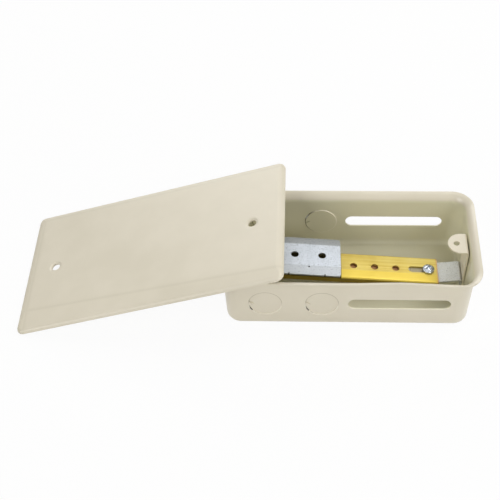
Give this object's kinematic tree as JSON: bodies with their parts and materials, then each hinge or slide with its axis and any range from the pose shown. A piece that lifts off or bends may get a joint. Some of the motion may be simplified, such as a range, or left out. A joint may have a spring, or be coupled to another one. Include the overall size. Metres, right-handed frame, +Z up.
{
  "type": "electrical enclosure",
  "caption": "Flush drawn-steel wiring enclosure with a bell-mouthed rim, side slots, knockouts, an inner slotted bar and its oversize cover plate leaning on it.",
  "frame": {"origin": "centre of the drawn body's flat underside, on the plane it stands on", "axes": "+X along the body towards its uncovered end, +Y to the back, +Z up out of its mouth"},
  "size_m": [0.3171, 0.1104, 0.0626],
  "materials": {
    "cream_paint": "satin powder coat over steel sheet",
    "galvanised_steel": "hot dip galvanised, dull spangle",
    "yellow_zinc": "yellow passivated zinc with fine drawing lines",
    "bright_zinc": "bright zinc plate",
    "rivet_aluminium": "plain"
  },
  "bodies": {
    "root": {"box_body": "cream_paint", "cover_plate": "cream_paint", "ear_bracket_right": "cream_paint", "ear_bracket_left": "cream_paint", "foot_strap_right": "galvanised_steel", "foot_strap_left": "galvanised_steel", "saddle_plate": "galvanised_steel", "slotted_bar": "yellow_zinc", "clamp_screws": "bright_zinc", "clamp_nuts": "bright_zinc", "strap_rivets": "rivet_aluminium"}
  },
  "joints": []
}
